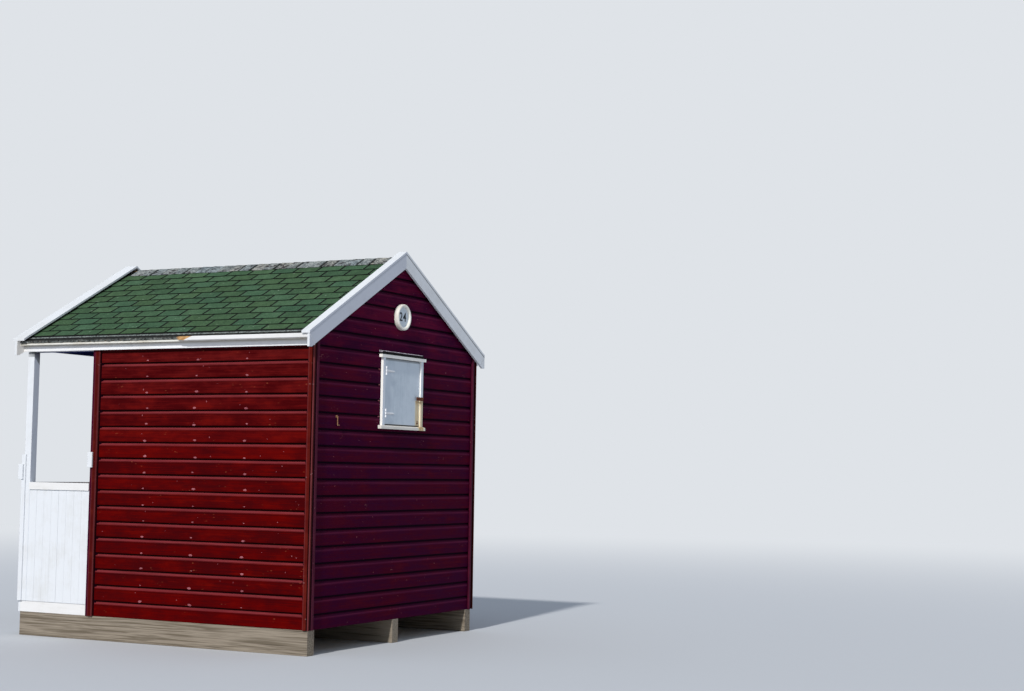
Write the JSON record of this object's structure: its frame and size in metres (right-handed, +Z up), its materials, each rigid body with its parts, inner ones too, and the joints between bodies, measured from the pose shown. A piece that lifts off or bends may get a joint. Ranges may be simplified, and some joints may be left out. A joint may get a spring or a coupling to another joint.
{
  "type": "beach hut",
  "caption": "Timber beach hut with shiplap walls, a shingled pitched roof, an open front porch with balustrades and a shuttered window in the rear gable.",
  "frame": {"origin": "on the ground, under the middle of the hut's overall length and width", "axes": "+Z up, +X to the right-hand side wall of a person who faces the porch, +Y to the rear gable, the porch at -Y"},
  "size_m": [2.96, 3.148, 3.4103],
  "materials": {
    "red_gloss_paint": "oxblood gloss paint on shiplap boards, weathered",
    "white_gloss_paint": "white gloss paint on planed softwood",
    "raw_softwood": "treated sawn softwood",
    "green_mineral_felt": "green mineral felt shingles",
    "grey_mineral_felt": "weathered grey mineral felt",
    "rusty_steel": "painted steel with rust showing through"
  },
  "bodies": {
    "root": {"cabin_hook": "rusty_steel", "door_head": "red_gloss_paint", "door_hinges": "red_gloss_paint", "door_jambs": "red_gloss_paint", "door_threshold": "raw_softwood", "drip_strips": "white_gloss_paint", "eaves_battens": "white_gloss_paint", "fascia_boards": "white_gloss_paint", "floor_joists": "raw_softwood", "front_corner_boards": "red_gloss_paint", "front_gable": "red_gloss_paint", "front_left_barge": "white_gloss_paint", "front_left_barge_cap": "white_gloss_paint", "front_panels": "white_gloss_paint", "front_right_barge": "white_gloss_paint", "front_right_barge_cap": "white_gloss_paint", "front_wall": "red_gloss_paint", "hatch_drip_board": "grey_mineral_felt", "hatch_hasp": "rusty_steel", "hatch_head": "white_gloss_paint", "hatch_hinges": "white_gloss_paint", "hatch_jambs": "white_gloss_paint", "hatch_shutter": "white_gloss_paint", "hatch_sill": "white_gloss_paint", "left_door": "red_gloss_paint", "left_roof_boards": "raw_softwood", "left_shingles": "green_mineral_felt", "left_wall": "red_gloss_paint", "newels": "white_gloss_paint", "number_plaque": "white_gloss_paint", "porch_beams": "white_gloss_paint", "porch_floor": "raw_softwood", "porch_gable": "red_gloss_paint", "porch_posts": "white_gloss_paint", "porch_rails": "white_gloss_paint", "porch_rim": "white_gloss_paint", "porch_side_rims": "white_gloss_paint", "post_battens": "white_gloss_paint", "rafters": "raw_softwood", "rear_corner_boards": "red_gloss_paint", "rear_gable": "red_gloss_paint", "rear_left_barge": "white_gloss_paint", "rear_left_barge_cap": "white_gloss_paint", "rear_right_barge": "white_gloss_paint", "rear_right_barge_cap": "white_gloss_paint", "rear_wall_left": "red_gloss_paint", "rear_wall_right": "red_gloss_paint", "rear_wall_under_hatch": "red_gloss_paint", "ridge_board": "raw_softwood", "ridge_capping": "grey_mineral_felt", "right_door": "red_gloss_paint", "right_roof_boards": "raw_softwood", "right_shingles": "green_mineral_felt", "right_wall": "red_gloss_paint", "room_floor": "raw_softwood", "side_panels": "white_gloss_paint", "skids": "raw_softwood", "storm_board_cleats": "white_gloss_paint", "tie_beam": "white_gloss_paint"}
  },
  "joints": []
}
